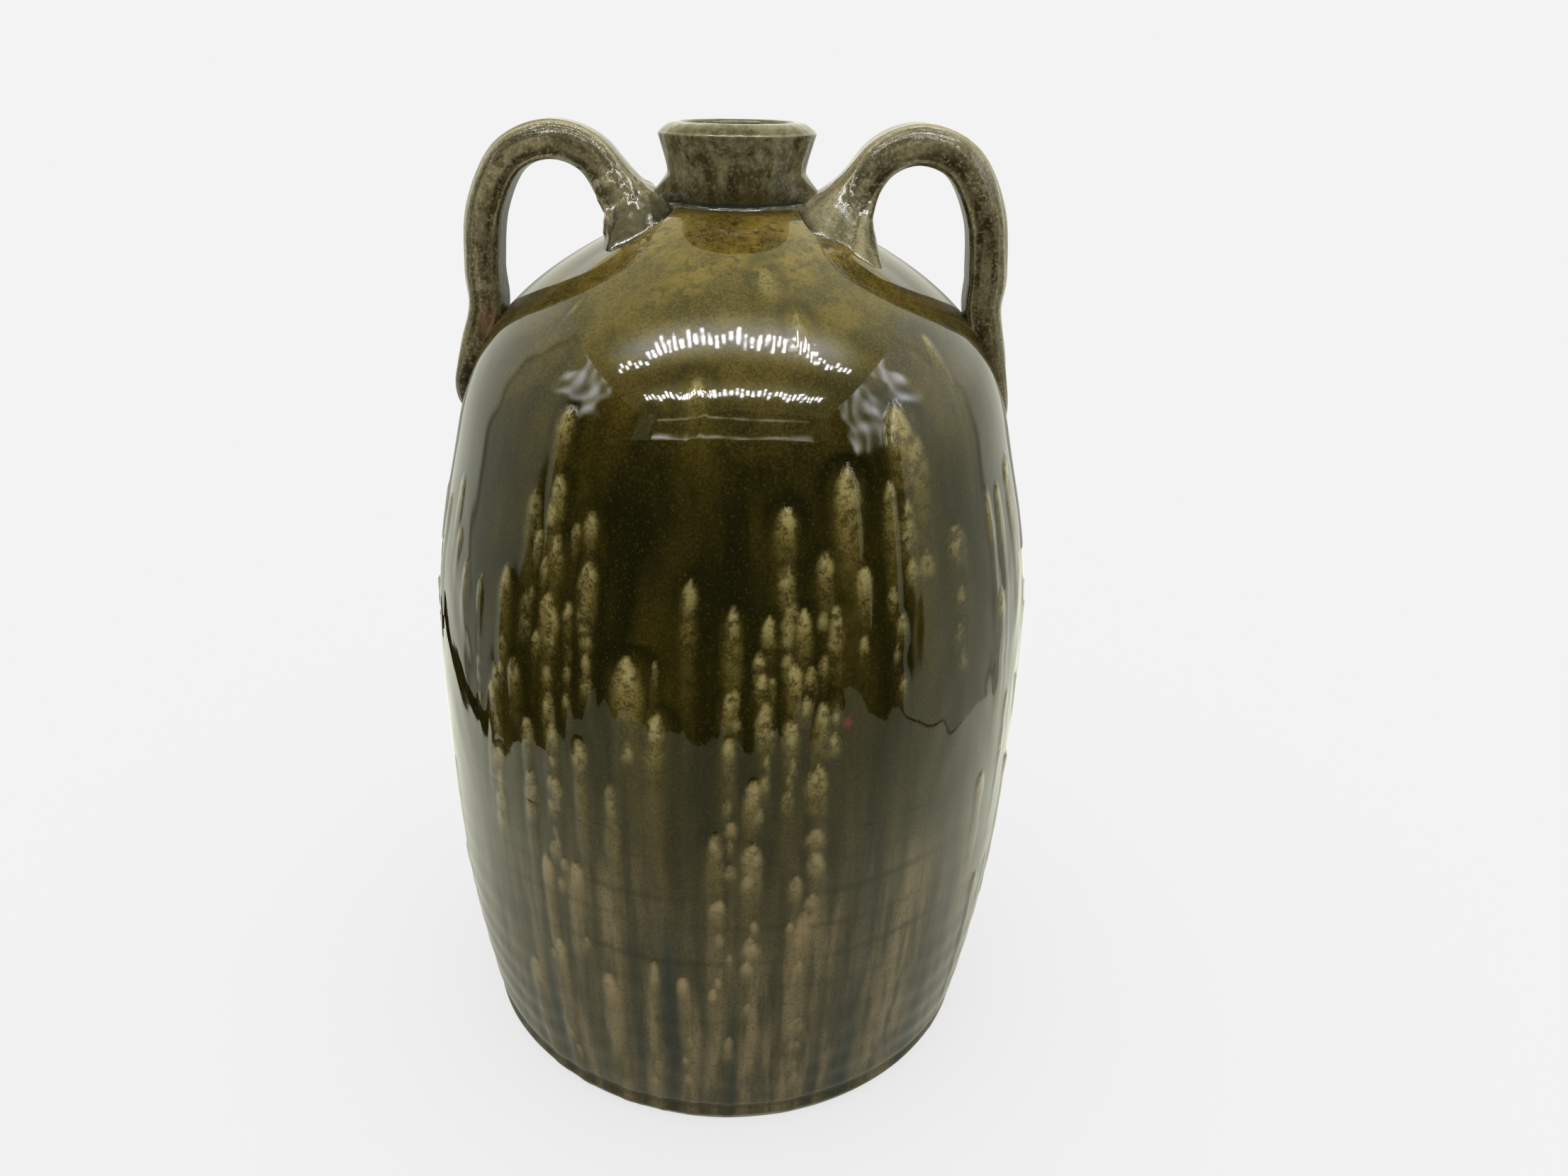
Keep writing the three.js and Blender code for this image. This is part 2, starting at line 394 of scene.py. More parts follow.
def ashGlaze():
    # Ash glaze on stoneware: a thick glassy coat that runs, so deep green pools, tan runs and a wet gloss
    look = glazeLook
    material, tree = newMaterial("ashGlazedStoneware")
    where = addNode(tree, "ShaderNodeTexCoord").outputs["Object"]
    stretch = {"Vector": where, "Scale": (1.0, 1.0, look["streakShare"])}
    tall = addNode(tree, "ShaderNodeMapping", stretch).outputs[0]
    pattern = {}
    for space, sizes in ((where, look["patterns"]), (tall, look["streaks"])):
        for name, (size, detail) in sizes.items():
            pattern[name] = noise(tree, space, perMetre(size), detail)
    bend = {0: pattern["bead"], 1: [look["crackBend"] * mm] * 3, 2: where}
    bent = addNode(tree, "ShaderNodeVectorMath", bend, operation="MULTIPLY_ADD").outputs[0]
    cells = {"Vector": bent, "Scale": perMetre(look["crackSize"])}
    crack = addNode(tree, "ShaderNodeTexVoronoi", cells, feature="DISTANCE_TO_EDGE")
    pattern["crack"] = crack.outputs["Distance"]
    layers = (
        (None, "broad", 0.48, 0.7, 0.0, 0.5, "olive"),
        ("tail", "streak", 0.35, 0.65, 0.25, 1.0, "olive"),
        ("thin", "streak", 0.3, 0.6, 0.6, 1.0, "moss"),
        ("column", "streak", 0.35, 0.6, 0.25, 1.0, "taupe"),
        ("amber", "blot", 0.42, 0.56, 0.4, 1.0, "amber"),
        ("amber", "cloud", 0.52, 0.64, 0.0, 0.6, "umber"),
        ("amber", "bead", 0.53, 0.64, 0.0, 0.8, "umber"),
        ("amber", "grain", 0.5, 0.62, 0.0, 0.6, "tan"),
        ("cool", "broad", 0.35, 0.55, 0.4, 1.0, "cool"),
        # dark: darker round the runs and along the rings, with painted shade along the base and in the foot
        # groove
        ("dark", "bead", 0.2, 0.4, 0.7, 1.0, "deep"),
        (None, "grain", 0.5, 0.28, 0.0, 0.55, "deep"),
        ("run", "bead", 0.32, 0.55, 0.3, 1.0, "khaki"),
        ("tan", "bead", 0.41, 0.57, 0.15, 1.0, "tan"),
        ("tip", "bead", 0.38, 0.56, 0.15, 1.0, "pale"),
        ("tan", "grain", 0.5, 0.64, 0.0, 0.55, "pale"),
        ("run", "grain", 0.48, 0.34, 0.0, 0.4, "olive"),
        ("knob", "bead", 0.3, 0.5, 0.4, 1.0, "clay"),
        ("rust", "bead", 0.2, 0.5, 0.3, 1.0, "rust"),
        (None, "grain", 0.58, 0.74, 0.0, 0.3, "khaki"),
        (None, "crack", 0.03, 0.0, 0.0, 0.3, "deep"),
    )
    colour = layTones(tree, look, pattern, srgb(look["deep"]), layers)
    gloss = ramp(tree, pattern["bead"], 0.3, 0.7, *look["gloss"])
    skin = bump(tree, pattern["peel"], look["peelDepth"])
    lumps = calc(tree, "MULTIPLY", pattern["bead"], painted(tree, "run"))
    firedCoat(tree, colour, gloss, bump(tree, lumps, look["beadDepth"], skin), look["sheen"])
    return material


bareLook = {
    "clay": "#8a7a66",
    "dark": "#5d5145",
    "toneSize": 30.0,
    "gritSize": 1.4,
    "gritDepth": 0.12,
    "roughness": 0.85,
}


def bareStoneware():
    # Bare fired stoneware under the foot: dry, gritty and dull
    look = bareLook
    material, tree = newMaterial("bareStoneware")
    where = addNode(tree, "ShaderNodeTexCoord").outputs["Object"]
    grit = noise(tree, where, perMetre(look["gritSize"]), 3.0)
    tone = noise(tree, where, perMetre(look["toneSize"]), 4.0)
    colour = blend(tree, tone, srgb(look["clay"]), srgb(look["dark"]))
    firedCoat(tree, colour, look["roughness"], bump(tree, grit, look["gritDepth"]))
    return material


collarLook = {
    "base": "#5a5236",
    "dark": "#24210f",
    "pale": "#908868",
    "stain": "#6f5c26",
    "creaseGlazeAndShade": "#363c32",
    "streakSize": 4.2,  # mm
    "blotchSize": 5.0,
    "grainSize": 1.3,
    "streakShare": 0.6,
    "blotchShare": 0.36,
    "grainShare": 0.4,
    "gloss": (0.04, 0.11),
    "depth": (0.03, 0.25, 0.3),  # relief of grain, streaks and blotches in mm
}
strapLook = {
    "base": "#645b3b",
    "dark": "#292512",
    "pale": "#ada27f",
    "stain": "#7c4d33",
    "creaseGlazeAndShade": "#221f12",
    "streakSize": 1.8,
    "blotchSize": 4.0,
    "grainSize": 1.2,
    "streakShare": 0.95,
    "blotchShare": 0.3,
    "grainShare": 0.5,
    "gloss": (0.03, 0.1),
    "depth": (0.05, 0.22, 0.25),
}


def thinGlaze(name, look):
    # Thin glaze over wiped or pulled clay: pale where it breaks on a ridge, dark where it lies in a groove.
    # The painted fields also carry painted highlights on rims, webs and strap tops, and painted shade in
    # creases, under the straps and low on the collar's front
    material, tree = newMaterial(name)
    where = addNode(tree, "ShaderNodeTexCoord").outputs["Object"]
    # The painted space runs round the piece and, stretched, along the pull, in mm
    flow = addNode(tree, "ShaderNodeAttribute", attribute_name="flow").outputs["Vector"]
    pattern = {"streak": noise(tree, flow, 1 / look["streakSize"], 3.0)}
    for key, detail in (("blotch", 4.0), ("grain", 2.0)):
        pattern[key] = noise(tree, where, perMetre(look[key + "Size"]), detail)
    layers = (
        (None, "streak", 0.56, 0.38, 0.0, look["streakShare"], "dark"),
        (None, "streak", 0.54, 0.7, 0.0, look["streakShare"] * 0.4, "pale"),
        (None, "blotch", 0.47, 0.64, 0.0, look["blotchShare"], "pale"),
        (None, "blotch", 0.5, 0.35, 0.0, look["blotchShare"], "dark"),
        # ridge also carries painted highlights; pool and the crease layer also carry painted shade
        ("ridge", "streak", 0.3, 0.6, 0.3, 0.75, "pale"),
        (None, "grain", 0.54, 0.68, 0.0, look["grainShare"], "pale"),
        (None, "grain", 0.44, 0.3, 0.0, look["grainShare"], "dark"),
        ("pool", "blotch", 0.3, 0.55, 0.5, 1.0, "dark"),
        ("stain", "blotch", 0.3, 0.6, 0.35, 0.95, "stain"),
        ("creaseGlazeAndShade", "blotch", 0.3, 0.5, 0.8, 1.0, "creaseGlazeAndShade"),
    )
    colour = layTones(tree, look, pattern, srgb(look["base"]), layers)
    # Wet glaze is smoother and glossier
    dry = ramp(tree, painted(tree, "wet"), 0.0, 1.0, 1.0, 0.2)
    gloss = calc(tree, "MULTIPLY", ramp(tree, pattern["blotch"], 0.3, 0.7, *look["gloss"]), dry)
    relief = None
    for key, depth in zip(("grain", "streak", "blotch"), look["depth"]):
        relief = bump(tree, pattern[key], depth, relief, dry)
    firedCoat(tree, colour, gloss, relief, glazeLook["sheen"])
    return material


bodyGlaze = ashGlaze()
footClay = bareStoneware()
collarGlaze = thinGlaze("thinGlazedCollar", collarLook)
strapGlaze = thinGlaze("thinGlazedStrap", strapLook)
print("materials made")

# Glaze runs: angle right of the front in degrees, height of the top, width and length in mm, strength

runs = {
    "seen": [
        (-30, 310, 7, 18, 0.7), (-29.6, 288, 7, 16, 0.8), (-30.6, 278, 7, 11, 0.9),
        (-34.8, 281, 9, 33, 0.35), (-28.7, 268, 7.5, 18, 0.9), (-32.7, 267, 4, 13, 0.6),
        (-22.3, 278, 7, 15, 0.6), (-25.1, 273, 4, 8, 0.6), (-39.8, 251, 8, 25, 0.7),
        (-21.9, 260, 6.5, 19, 0.8), (-29.4, 246, 8, 22, 0.65), (-25.3, 245, 5, 11, 0.6),
        (-4.2, 258, 5.5, 34, 0.55), (2.9, 250, 6.5, 27, 0.85), (8.6, 246, 5.5, 11, 0.8),
        (7.1, 234, 5, 8, 0.85), (7.5, 226, 5, 9, 0.9), (14.3, 248, 7, 15, 0.85), (12.7, 229, 6, 17, 0.9),
        (19.7, 249, 6.5, 32, 0.8), (18.2, 267, 6.5, 15, 0.75), (24.8, 261, 6, 20, 0.8),
        (11.7, 283, 7.5, 11, 0.85), (11.3, 263, 7, 11, 0.65), (22.7, 294, 10, 33, 1.0),
        (34.5, 312, 12, 25, 0.95), (31.1, 288, 6.5, 30, 0.75), (37.5, 302, 12, 35, 0.5),
        (-4.8, 323, 8, 7, 0.6), (-14.3, 229, 12, 26, 0.9), (-9.5, 229, 4, 14, 0.45),
        (-41.6, 210, 7, 17, 0.7), (-36.9, 217, 7.5, 17, 0.7), (-28.9, 208, 5.5, 16, 0.7),
        (45.6, 268, 13, 16, 0.35), (-53, 243, 5.5, 9, 0.6), (-47, 243, 4.5, 12, 0.5),
        (-60, 273, 7, 10, 0.6), (-57.5, 254, 6, 8, 0.6), (-42.7, 203, 8, 21, 0.7),
        (-33.8, 195, 7, 19, 0.75), (-28.3, 196, 6.5, 20, 0.7), (-9.3, 209, 8.5, 30, 0.85),
        (2.3, 219, 5.5, 13, 0.8), (2.4, 202, 6, 20, 0.8), (7.8, 212, 6, 23, 0.8), (6.5, 184, 7, 25, 0.85),
        (6.4, 156, 8.5, 32, 0.85), (12.2, 208, 6.5, 14, 0.75), (17.5, 214, 8.5, 19, 0.8),
        (16.8, 188, 9, 17, 0.75), (17.2, 151, 7.5, 13, 0.7), (0.4, 161, 7, 25, 0.85),
        (1.1, 131, 6, 11, 0.75), (14, 140, 6, 13, 0.75), (6.5, 112, 6, 35, 0.6), (-10.5, 96, 5, 60, 0.6),
        (-19.4, 84, 8, 71, 0.65), (-5.3, 90, 5, 26, 0.7), (0.2, 85, 5, 20, 0.6), (3.1, 57, 6, 36, 0.5),
        (-4.8, 33, 6.5, 14, 0.6), (-17.4, 177, 7, 88, 0.55), (-22.9, 193, 6, 52, 0.6),
        (-27.9, 173, 6, 25, 0.6), (-33.5, 172, 7.5, 37, 0.6), (-30.8, 135, 7, 53, 0.6),
        (-24.4, 137, 7, 36, 0.65), (-30, 93, 7.5, 55, 0.6), (-37.8, 73, 9, 63, 0.5),
        (15.7, 123, 9, 61, 0.55), (12.2, 353, 7, 2, 0.55), (18, 341, 7, 2, 0.6), (51.5, 331, 6, 9, 0.6),
        (-43, 341, 3, 1, 0.5),
    ],
    "seenSpan": (-64, 54),
    "unseen": 130,
    "beads": 4,  # most beads that follow below a run
    "beadGap": (7.0, 14.0),
    "beadWidth": (0.65, 0.95),  # share of the run's width
    "beadLength": 6,
    "beadStrength": 0.66,
    "beadFoot": 25,  # no beads below this height
    "seed": 11,
    "lift": 0.85,  # relief in mm
    "sag": 0.1,
    # Columns of thinner glaze low on the wall: angle, height of the top, width, strength
    "columns": [
        (-37, 150, 8, 0.7), (-31.5, 160, 8, 0.8), (-26.5, 150, 8, 0.8), (-19, 150, 10, 1.0),
        (-11.5, 105, 9, 1.0), (-4.5, 95, 8, 1.0), (0.5, 110, 8, 0.9), (7, 150, 10, 1.0),
        (14.5, 130, 11, 1.0), (37, 160, 26, 1.1), (22.5, 70, 7, 0.6), (-44, 120, 10, 0.7),
        (-52, 140, 11, 0.7), (47, 140, 9, 0.6), (54, 150, 12, 0.8), (27, 165, 12, 0.5),
        (10.5, 95, 9, 0.6),
    ],
    "spareColumns": 75,
    "coolStreaks": [
        (-8, 125, 8), (28, 150, 10), (-14.6, 110, 4), (-34, 90, 5), (20, 70, 5), (46, 90, 7),
        (3.6, 90, 4),
    ],
    "rings": [(64, 0.3), (84, 0.4), (99, 0.8), (116, 0.7), (131, 0.9), (147, 0.4)],
    "rustSpot": (21.7, 204, 4),
}


def allRuns():
    rng = np.random.default_rng(runs["seed"])
    rows = []
    for angle, top, width, length, strength in runs["seen"]:
        rows.append((angle, top, width, length, strength))
        below = top - length * 0.8
        for _ in range(rng.integers(0, runs["beads"] + 1) if length > 10 else 0):
            below -= rng.uniform(*runs["beadGap"])
            if below > runs["beadFoot"]:
                turned = angle + rng.normal(0, 0.5)
                wide = width * rng.uniform(*runs["beadWidth"])
                rows.append((turned, below, wide, runs["beadLength"], strength * runs["beadStrength"]))
    first, last = runs["seenSpan"]
    for i in range(runs["unseen"]):
        angle = last + (i + rng.uniform(0.2, 0.8)) / runs["unseen"] * (360 - (last - first))
        top = 150 + 150 * rng.beta(1.3, 1.1) if i % 3 else rng.uniform(40, 170)
        width = rng.uniform(4.5, 9.5)
        rows.append((angle, top, width, rng.uniform(9, 40), rng.uniform(0.45, 0.95)))
    return rows


def runFields(angle, height, radius):
    rng = np.random.default_rng(runs["seed"] + 1)
    field = {name: np.zeros(len(angle)) for name in ("run", "tan", "tip", "tail", "column", "dark", "lift")}
    for middle, top, width, length, strength in allRuns():
        steps = np.cumsum(rng.uniform(3.5, 10, 60))
        beads = rng.uniform(-1, 1, 60)
        swing, start = rng.uniform((-1.2, 0), (1.2, math.tau))
        below = top - height
        away = (angle - middle + 180) % 360 - 180
        near = np.flatnonzero((below > -6) & (below < 230) & (np.abs(away) < 16))
        down = below[near]
        knobs = np.interp(down, steps, beads)
        arc = np.radians(away[near]) * radius[near] - swing * (np.sin(down / 23 + start) - math.sin(start))
        crown = np.clip(down / (width * 1.1), 0, 1)
        crown = np.sqrt(crown * (2 - crown))
        half = width / 2 * crown * (0.93 + 0.2 * knobs) + 0.01
        edge = np.abs(arc) / half
        core = fade(0.2, 1.3, edge) * (down > 0)
        past = np.clip(down - width * 0.5, 0, None)
        beaded = np.clip(0.72 + 0.5 * knobs, 0.1, 1)
        run = core * np.exp(-((past / (length * 1.1)) ** 1.2)) * beaded * strength
        tan = core * np.exp(-((past / (length * 0.4 + 3)) ** 1.4)) * beaded * strength
        tip = core**1.5 * bell(past, 0, length * 0.1 + 2.5) * strength
        fallen = np.clip(down, 0, None)
        tail = bell(arc, 0, width * 1.3) * smoothstep(-2, 10, down) * strength
        tail *= np.exp(-fallen / (length * 2 + 45))
        rim = np.hypot(arc, np.minimum(down - width * 0.45, 0)) / (width / 2)
        dark = bell(rim, 1.8, 0.6) * np.exp(-fallen / (length + 10)) * strength
        flat = fade(0.35, 1.2, edge) * (down > 0)
        lift = flat * strength * (0.3 + 0.7 * np.exp(-down / (length * 1.3))) * (1 + 0.2 * knobs)
        lift *= np.exp(-np.clip(down - length * 2, 0, None) / 15)
        column = bell(arc, 0, width * 0.7) * smoothstep(0, 10, down) * np.exp(-fallen / 190)
        column *= (0.3 + 0.7 * strength) * (0.85 + 0.2 * knobs)
        for name, value in zip(field, (run, tan, tip, tail, column, dark, lift)):
            field[name][near] = np.maximum(field[name][near], value)
    field["dark"] *= 1 - np.clip(field["run"] * 1.6, 0, 1)
    # Low on the wall the coat is thin, so a bead shows the clay rather than pooled ash
    low = fade(110, 220, height)
    field["knob"] = np.clip(field["tip"] + 0.5 * field["tan"], 0, 1) * low
    field["tip"] *= 1 - 0.9 * low
    field["tan"] *= 1 - 0.75 * low
    field["run"] *= 1 - 0.25 * low
    return field


footRing = {"grooveHeight": 9.5, "grooveDepth": 0.9, "rollHeight": 5.0, "rollDepth": 0.5}
wallCoat = {
    "thinBand": (60, 210),  # mm, from thin glaze to thick
    "amberFoot": 262,
    "amberRise": 98,
    "amberPower": 2.9,
    "amberSides": 0.62,  # share of the amber that is left round the sides
    "ringWidth": 1.7,
    "ringShare": 0.75,
}


def arcFrom(middle, angle, radius):
    return np.radians((angle - middle + 180) % 360 - 180) * radius


def glazeWall(mesh):
    coat = wallCoat
    corners = cornersOf(mesh)
    radius = np.hypot(corners[:, 0], corners[:, 1])
    height = corners[:, 2]
    angle = np.degrees(np.arctan2(corners[:, 0], -corners[:, 1]))
    outside = radius > wallRadius(height) - jug["wall"] / 2
    outside |= (height > jug["turnHeight"]) & (height > shoulderHeight(radius) - jug["wall"] / 2)
    field = runFields(angle, height, radius)
    turn = np.radians(angle)
    wave = np.sin(turn * 5 + 1.0) * np.cos(turn * 3)
    field["thin"] = fade(*coat["thinBand"], height + 18 * wave)
    rng = np.random.default_rng(runs["seed"] + 2)
    spare = rng.uniform((-180, 40, 4.5, 0.3), (180, 160, 10, 0.85), (runs["spareColumns"], 4))
    for middle, top, width, strength in runs["columns"] + spare.tolist():
        arc = arcFrom(middle, angle, radius) + 1.5 * np.sin(height / 19 + middle)
        streak = strength * bell(arc, 0, width * 0.55) * fade(top - 30, top + 10, height)
        field["column"] = np.maximum(field["column"], streak)
    field["column"] *= np.clip(field["thin"] * 1.5, 0, 1)
    climb = (height + 4 * wave - coat["amberFoot"]) / coat["amberRise"]
    field["amber"] = np.clip(climb, 0, 1) ** coat["amberPower"]
    sides = coat["amberSides"]
    field["amber"] *= sides + (1 - sides) * smoothstep(0.35, 0.9, np.cos(turn))
    field["dark"] *= smoothstep(90, 200, height)
    # Dark bands at the listed ring heights, and painted shade along the base where it meets the floor and in
    # the foot groove
    rings = [0.85 * bell(height, 0, 4.5), 0.6 * bell(height, footRing["grooveHeight"], 1.5)]
    for middle, strength in runs["rings"]:
        sway = 1.3 * np.sin(turn * 3 + middle) + 0.7 * np.sin(turn * 11)
        patchy = 0.5 + 0.5 * np.sin(turn * 7 + middle * 2)
        ring = bell(height, middle + sway, coat["ringWidth"]) * strength * (0.3 + 0.7 * patchy)
        rings.append(ring * coat["ringShare"])
    field["dark"] = np.maximum(field["dark"], np.max(rings, axis=0))
    field["cool"] = np.zeros(len(height))
    for middle, top, width in runs["coolStreaks"]:
        streak = bell(arcFrom(middle, angle, radius), 0, width / 2) * fade(top - 40, top + 10, height)
        field["cool"] = np.maximum(field["cool"], streak)
    middle, top, width = runs["rustSpot"]
    arc = arcFrom(middle, angle, radius)
    field["rust"] = bell((arc**2 + (height - top) ** 2) / (width / 2) ** 2, 0, 1)
    for name, layer in field.items():
        layer[~outside] = {"thin": 1, "column": 0.4}.get(name, 0)
        if name != "lift":
            paint(mesh, name, layer)
    # Soft waves where the glaze has sagged, which break up what the wall mirrors
    sag = np.sin(height / 5.2 + 3 * np.sin(turn * 13)) * np.sin(turn * 19 + height / 31)
    sag *= runs["sag"] * smoothstep(120, 190, height) * fade(230, 290, height) * outside
    field["lift"] *= 1 - 0.65 * smoothstep(295, 320, height)
    corners += normalsOf(mesh) * (field["lift"] * runs["lift"] + sag)[:, None]
    corners[:, 2] = np.maximum(corners[:, 2], 0)
    moveCorners(mesh, corners)


def showPiece(name, mesh, slot, materials, *nodes):
    mesh.materials.clear()
    for material in materials:
        mesh.materials.append(material)
    mesh.shade_smooth()
    mesh.set_sharp_from_angle(angle=math.radians(50))
    piece = addObject(name, mesh)
    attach(piece, "root")
    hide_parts(*nodes)
    print(name, "made,", len(mesh.polygons), "faces")
    return piece


def throwLowerSection():
    j = jug
    footEdge = (j["footRadius"] - j["footBevel"] * 0.6, 0)
    skin = np.vstack([[footEdge], lowerWall])
    skin[:, 0] -= footRing["grooveDepth"] * bell(skin[:, 1], footRing["grooveHeight"], 1.8)
    skin[1:, 0] += footRing["rollDepth"] * bell(skin[1:, 1], footRing["rollHeight"], 1.6)
    inner = j["bellyRadius"] - j["wall"]
    innerFoot = j["footRadius"] - j["wall"]
    floorEdge = (innerFoot - 12, j["floor"])
    lining = np.vstack([
        [lowerWall[-1]],
        [(inner, j["bellyHeight"])],
        bezier((inner, j["bellyHeight"]), (inner, 80), (innerFoot + 5, 45), (innerFoot, 19), 12)[1:],
        bezier((innerFoot, 19), (innerFoot - 1, 14), (innerFoot - 5, 11), floorEdge, 6)[1:],
        [(0, j["floor"])],
    ])
    skins = [
        throwSkin(skin, 140, bodyGlaze),
        throwSkin(lining, 18, bodyGlaze),
        throwSkin([footEdge, (0, 0)], 6, bodyGlaze),
    ]
    mesh = joinSkins("lowerSection", skins)
    glazeWall(mesh)
    piece = showPiece("lowerSection", mesh, "body_glaze", (bodyGlaze, footClay), "lower_section")
    for face in mesh.polygons:
        isUnderside = face.center.z < 0.4 * mm and face.normal.z < -0.9
        face.material_index = int(isUnderside)
    return piece


def throwUpperSection():
    j = jug
    seatTop = (j["throatRadius"], j["seatHeight"])
    skin = np.vstack([upperWall, [seatTop]])
    line = (upperWall + leftOf(upperWall) * j["wall"])[::-1]
    line = line[(line[:, 0] > j["throatRadius"] + 5) & (line[:, 1] > j["bellyHeight"] + 6)]
    lining = np.vstack([
        [seatTop],
        [(j["throatRadius"], j["seatHeight"] - j["wall"] * 0.8)],
        line[::6],
        [(j["bellyRadius"] - j["wall"], j["bellyHeight"])],
        [upperWall[0]],
    ])
    mesh = joinSkins("upperSection", [throwSkin(skin, 150, bodyGlaze), throwSkin(lining, 18, bodyGlaze)])
    glazeWall(mesh)
    return showPiece("upperSection", mesh, "body_glaze", (bodyGlaze,), "upper_section")


throwLowerSection()
throwUpperSection()

# Collar: flared neck with a soft-edged lip and glaze pooled in the crease at its foot, which is darkened
# further with painted shade

collar = {
    "poolRadius": 31.0,
    "footRadius": 23.8,
    "footHeight": 2.8,
    "waistRadius": 27.3,
    "waistHeight": 14.5,
    "lipStep": 0.15,
    "mouthRadius": 21.0,
    "rimFlat": 23.8,
    "lipDrop": 4.0,
    "around": 240,
    "webHeight": 14.0,  # webs of clay and glaze out to the two straps
    "webReach": 16.0,
    "webSpread": 0.31,  # radians to either side
}


def throwCollar():
    c, j = collar, jug
    seat, rim, lip = j["seatHeight"], j["rimHeight"], j["lipRadius"]
    lipHeight = rim - c["lipDrop"]
    pool = np.array((c["poolRadius"], shoulderHeight(c["poolRadius"]) - 0.25))
    foot = np.array((c["footRadius"], seat + c["footHeight"]))
    waist = np.array((c["waistRadius"], seat + c["waistHeight"]))
    edge = np.array((lip, lipHeight))
    underLip = edge - (c["lipStep"], 0.5)
    flat = np.array((c["rimFlat"], rim))
    mouth = np.array((c["mouthRadius"], rim))
    outside = np.vstack([
        bezier(pool, pool + (-4.4, 1.8), foot + (0.4, -2.4), foot, 20),
        bezier(foot, foot + (1.5, 1.2), waist - (0.4, 6), waist, 16)[1:],
        bezier(waist, waist + (0.3, 3), underLip - (1.3, 4.5), underLip, 24)[1:],
        [edge],
        bezier(edge, edge + (-1.9, 1.9), flat + (2.8, 0), flat, 16)[1:],
        bezier(mouth + (2.2, 0), mouth + (0.8, 0), mouth - (0, 0.8), mouth - (0, 2.4), 8),
        [(j["throatRadius"], seat)],
    ])
    bottom = [(j["throatRadius"], seat), (c["footRadius"], seat - 0.2), pool]
    skins = [
        throwSkin(outside, 200, collarGlaze, c["around"]),
        throwSkin(bottom, 4, collarGlaze, c["around"]),
    ]
    mesh = joinSkins("neckCollar", skins)
    corners = cornersOf(mesh)
    height = corners[:, 2]
    radius = np.hypot(corners[:, 0], corners[:, 1])
    aside = np.arctan2(corners[:, 1], np.abs(corners[:, 0]))
    climb = np.clip(1 - (height - seat) / c["webHeight"], 0, 1) ** 1.35
    skirt = np.clip((pool[0] - radius) / (pool[0] - foot[0]), 0, 1)
    web = bell(aside, 0, c["webSpread"]) * climb * (radius > foot[0] - 1)
    push = c["webReach"] * web * np.where(height < foot[1], skirt, 1)
    corners[:, :2] *= (1 + push / radius)[:, None]
    moveCorners(mesh, corners)
    # Pale along the lip edge where the glaze breaks, pale on the rim top, partly thin glaze and partly a
    # painted reflection, and pale on the webs as a painted reflection
    brink = bell(height, lipHeight + 0.3, 0.7) * (radius > lip - 0.6)
    top = smoothstep(rim - 2.5, rim - 0.5, height)
    glassy = smoothstep(0.06, 0.5, web)
    paint(mesh, "ridge", np.maximum(np.maximum(brink, 0.85 * top), 0.9 * glassy))
    # Darker low on the collar, partly pooled glaze and partly painted shade that is deepest at the front, and
    # painted shade inside the mouth
    front = np.clip(-corners[:, 1] / radius, 0, 1)
    poolAndShade = fade(seat + 1, seat + 17, height) * (0.3 + 0.5 * front) + (radius < 24) * 0.3
    paint(mesh, "pool", poolAndShade * (1 - 0.8 * glassy))
    # Glaze from the shoulder laps up to the crease, which stays darkest, as pooled glaze and painted shade
    lap = (height < foot[1]) * smoothstep(foot[0] + 0.3, foot[0] + 2.5, radius)
    creaseGlazeAndShade = bell(height, foot[1], 0.9) * (radius < foot[0] + 2) * (radius > foot[0] - 1)
    paint(mesh, "stain", lap)
    paint(mesh, "creaseGlazeAndShade", np.maximum(creaseGlazeAndShade, 0.3 * glassy))
    paint(mesh, "wet", np.maximum(np.maximum(lap, creaseGlazeAndShade), 0.7 * glassy))
    paintFlow(mesh, corners * (1, 1, 0.16))
    return showPiece("neckCollar", mesh, "collar_glaze", (collarGlaze,), "neck_collar")


throwCollar()

# Handles: pulled straps, radius and height in mm in the plane of the handles

strap = {
    "thick": 15.6,
    "width": 21.0,
    "square": 2.7,  # 2 is an oval, more is squarer
    "gapSquare": 5.0,  # the face towards the gap is flatter
    "around": 128,
    "along": 220,
    # Ridges left by the pull: degrees from the outer face towards the front, height, half-angle
    "ridges": [
        (20, 0.4, 9), (50, 0.7, 7), (84, 0.35, 9), (116, 0.5, 7), (150, 0.3, 9),
        (-30, 0.6, 8), (-72, 0.45, 9), (-118, 0.45, 8),
    ],
    "rootLength": 27.0,
    "rootEdge": 1.0,
    "rootFlare": (11.5, 19.0, 0.5),  # towards the collar, sideways, towards the gap
    "tailThick": 7.0,
    "tailWidth": 25.0,
    "tailDrop": 84.0,  # from the collar's seat down to the end of the tail
    "tailRound": 16.0,
    # Presses along the strap: mm from the nearer end, half-length, depth
    "thumb": (10, 4.5, 1.0),
    "bulge": (19, 3, -0.4),  # clay pushed up beside the thumb
    "tailPress": (17, 7, 1.8),
    "thumbTurn": (1.75, 0.5),  # radians from the outer face towards the front, half-angle
    "rustPlace": (0.76, 0.035),  # share of the length, half-length
    "rustTurn": (1.9, 0.35),
}
handles = {
    "leftHandle": {
        "node": "left_handle", "side": -1, "root": 39.5, "reach": 102.4, "rise": 24.9,
        "tailLift": 3.0, "toe": (130, 5.0), "press": 3.2, "wet": 1.0, "rust": 0.7, "seed": 5,
    },
    "rightHandle": {
        "node": "right_handle", "side": 1, "root": 39.5, "reach": 100.6, "rise": 24.8,
        "tailLift": -3.5, "toe": (142, 15.0), "press": 0.4, "wet": 0.0, "rust": 0.0, "seed": 9,
    },
}


